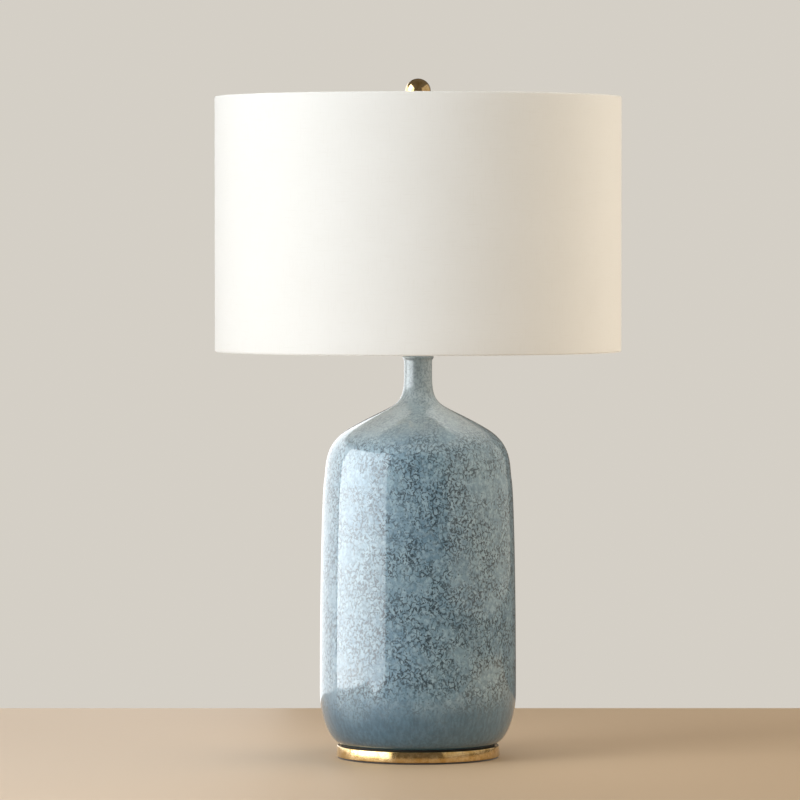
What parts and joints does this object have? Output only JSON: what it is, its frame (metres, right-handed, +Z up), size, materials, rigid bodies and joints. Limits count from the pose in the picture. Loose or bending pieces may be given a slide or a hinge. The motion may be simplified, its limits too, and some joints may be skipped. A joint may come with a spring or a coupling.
{
  "type": "table lamp with drum shade",
  "caption": "Table lamp with a glazed bottle-shaped ceramic body on a brass plinth, a harp, a white fabric drum shade and a ball finial.",
  "frame": {"origin": "centre of the felt pad's underside, where the lamp meets the table", "axes": "+Z up; the harp stands in the XZ plane, the switch knob points along -Y (the front) and the cable inlet along +Y"},
  "size_m": [0.4064, 0.4064, 0.678],
  "materials": {
    "glaze": "blue-grey speckled gloss glaze",
    "brass": "polished",
    "brass_hardware": "satin",
    "steel": "zinc or nickel plated",
    "white_metal": "white enamel",
    "linen": "fine plain weave, off-white",
    "styrene": "satin white sheet",
    "felt": "pressed felt",
    "rubber": "matte",
    "nylon": "satin, gold coloured",
    "phenolic": "moulded phenolic",
    "fibre": "pressed fibre",
    "black_plastic": "satin",
    "white_plastic": "satin",
    "diffuser": "frosted",
    "board": "coated circuit board"
  },
  "bodies": {
    "stand": {"felt_pad": "felt", "base_plinth": "brass", "cable_bushing": "nylon", "base_gasket": "rubber", "bottom_washer": "steel", "bottom_nut": "brass_hardware", "lamp_pipe": "steel", "ceramic_body": "glaze", "neck_gasket": "rubber", "neck_cap": "brass", "harp_saddle": "brass_hardware", "saddle_nut": "brass_hardware", "socket_cap": "brass_hardware", "socket_set_screw": "steel", "socket_shell": "brass_hardware", "insulating_sleeve": "fibre", "switch_body": "phenolic", "terminal_screw_live": "brass_hardware", "terminal_screw_neutral": "steel", "screw_shell": "brass_hardware", "centre_contact": "brass_hardware"},
    "switch": {"switch_spindle": "brass_hardware", "switch_knob": "black_plastic"},
    "bulb_foot": {"bulb_tip": "steel"},
    "bulb": {"bulb_insulator": "black_plastic", "bulb_screw_cap": "steel", "bulb_housing": "white_plastic", "led_board": "board", "led_driver_board": "board", "bulb_diffuser": "diffuser"},
    "harp": {"harp_wire": "brass_hardware", "harp_post": "brass_hardware"},
    "sleeve_left": {"harp_sleeve_left": "brass_hardware"},
    "sleeve_right": {"harp_sleeve_right": "brass_hardware"},
    "shade": {"shade_fabric": "linen", "shade_liner": "styrene", "shade_top_ring": "white_metal", "shade_bottom_ring": "white_metal", "spider_washer": "white_metal", "spider_arm_1": "white_metal", "spider_arm_2": "white_metal", "spider_arm_3": "white_metal"},
    "finial_foot": {"finial_collar": "brass"},
    "finial": {"finial_ball": "brass"}
  },
  "joints": [
    {"name": "switch_turn", "type": "hinge", "parent": "stand", "child": "switch", "pos_m": [0, -0.0255, 0.436], "axis": [0, -1, 0], "continuous": true},
    {"name": "bulb_rise", "type": "slide", "parent": "stand", "child": "bulb_foot", "axis": [0, 0, 1], "range_m": [0, 0.0237]},
    {"name": "bulb_turn", "type": "hinge", "parent": "bulb_foot", "child": "bulb", "pos_m": [0, 0, 0.5], "axis": [0, 0, 1], "range_deg": [0, 2340]},
    {"name": "harp_lift", "type": "slide", "parent": "stand", "child": "harp", "axis": [0, 0, 1], "range_m": [0, 0.18]},
    {"name": "sleeve_left_rise", "type": "slide", "parent": "harp", "child": "sleeve_left", "axis": [0, 0, 1], "range_m": [0, 0.0105]},
    {"name": "sleeve_right_rise", "type": "slide", "parent": "harp", "child": "sleeve_right", "axis": [0, 0, 1], "range_m": [0, 0.0105]},
    {"name": "shade_swivel", "type": "hinge", "parent": "harp", "child": "shade", "pos_m": [0, 0, 0.6465], "axis": [0, 0, 1], "continuous": true},
    {"name": "finial_rise", "type": "slide", "parent": "harp", "child": "finial_foot", "axis": [0, 0, 1], "range_m": [0, 0.0128]},
    {"name": "finial_turn", "type": "hinge", "parent": "finial_foot", "child": "finial", "pos_m": [0, 0, 0.665], "axis": [0, 0, 1], "range_deg": [0, 4860]}
  ],
  "couplings": [
    {"joint": "bulb_rise", "follows": "bulb_turn", "m_per_rad": 0.00057757},
    {"joint": "finial_rise", "follows": "finial_turn", "m_per_rad": 0.00014972}
  ]
}
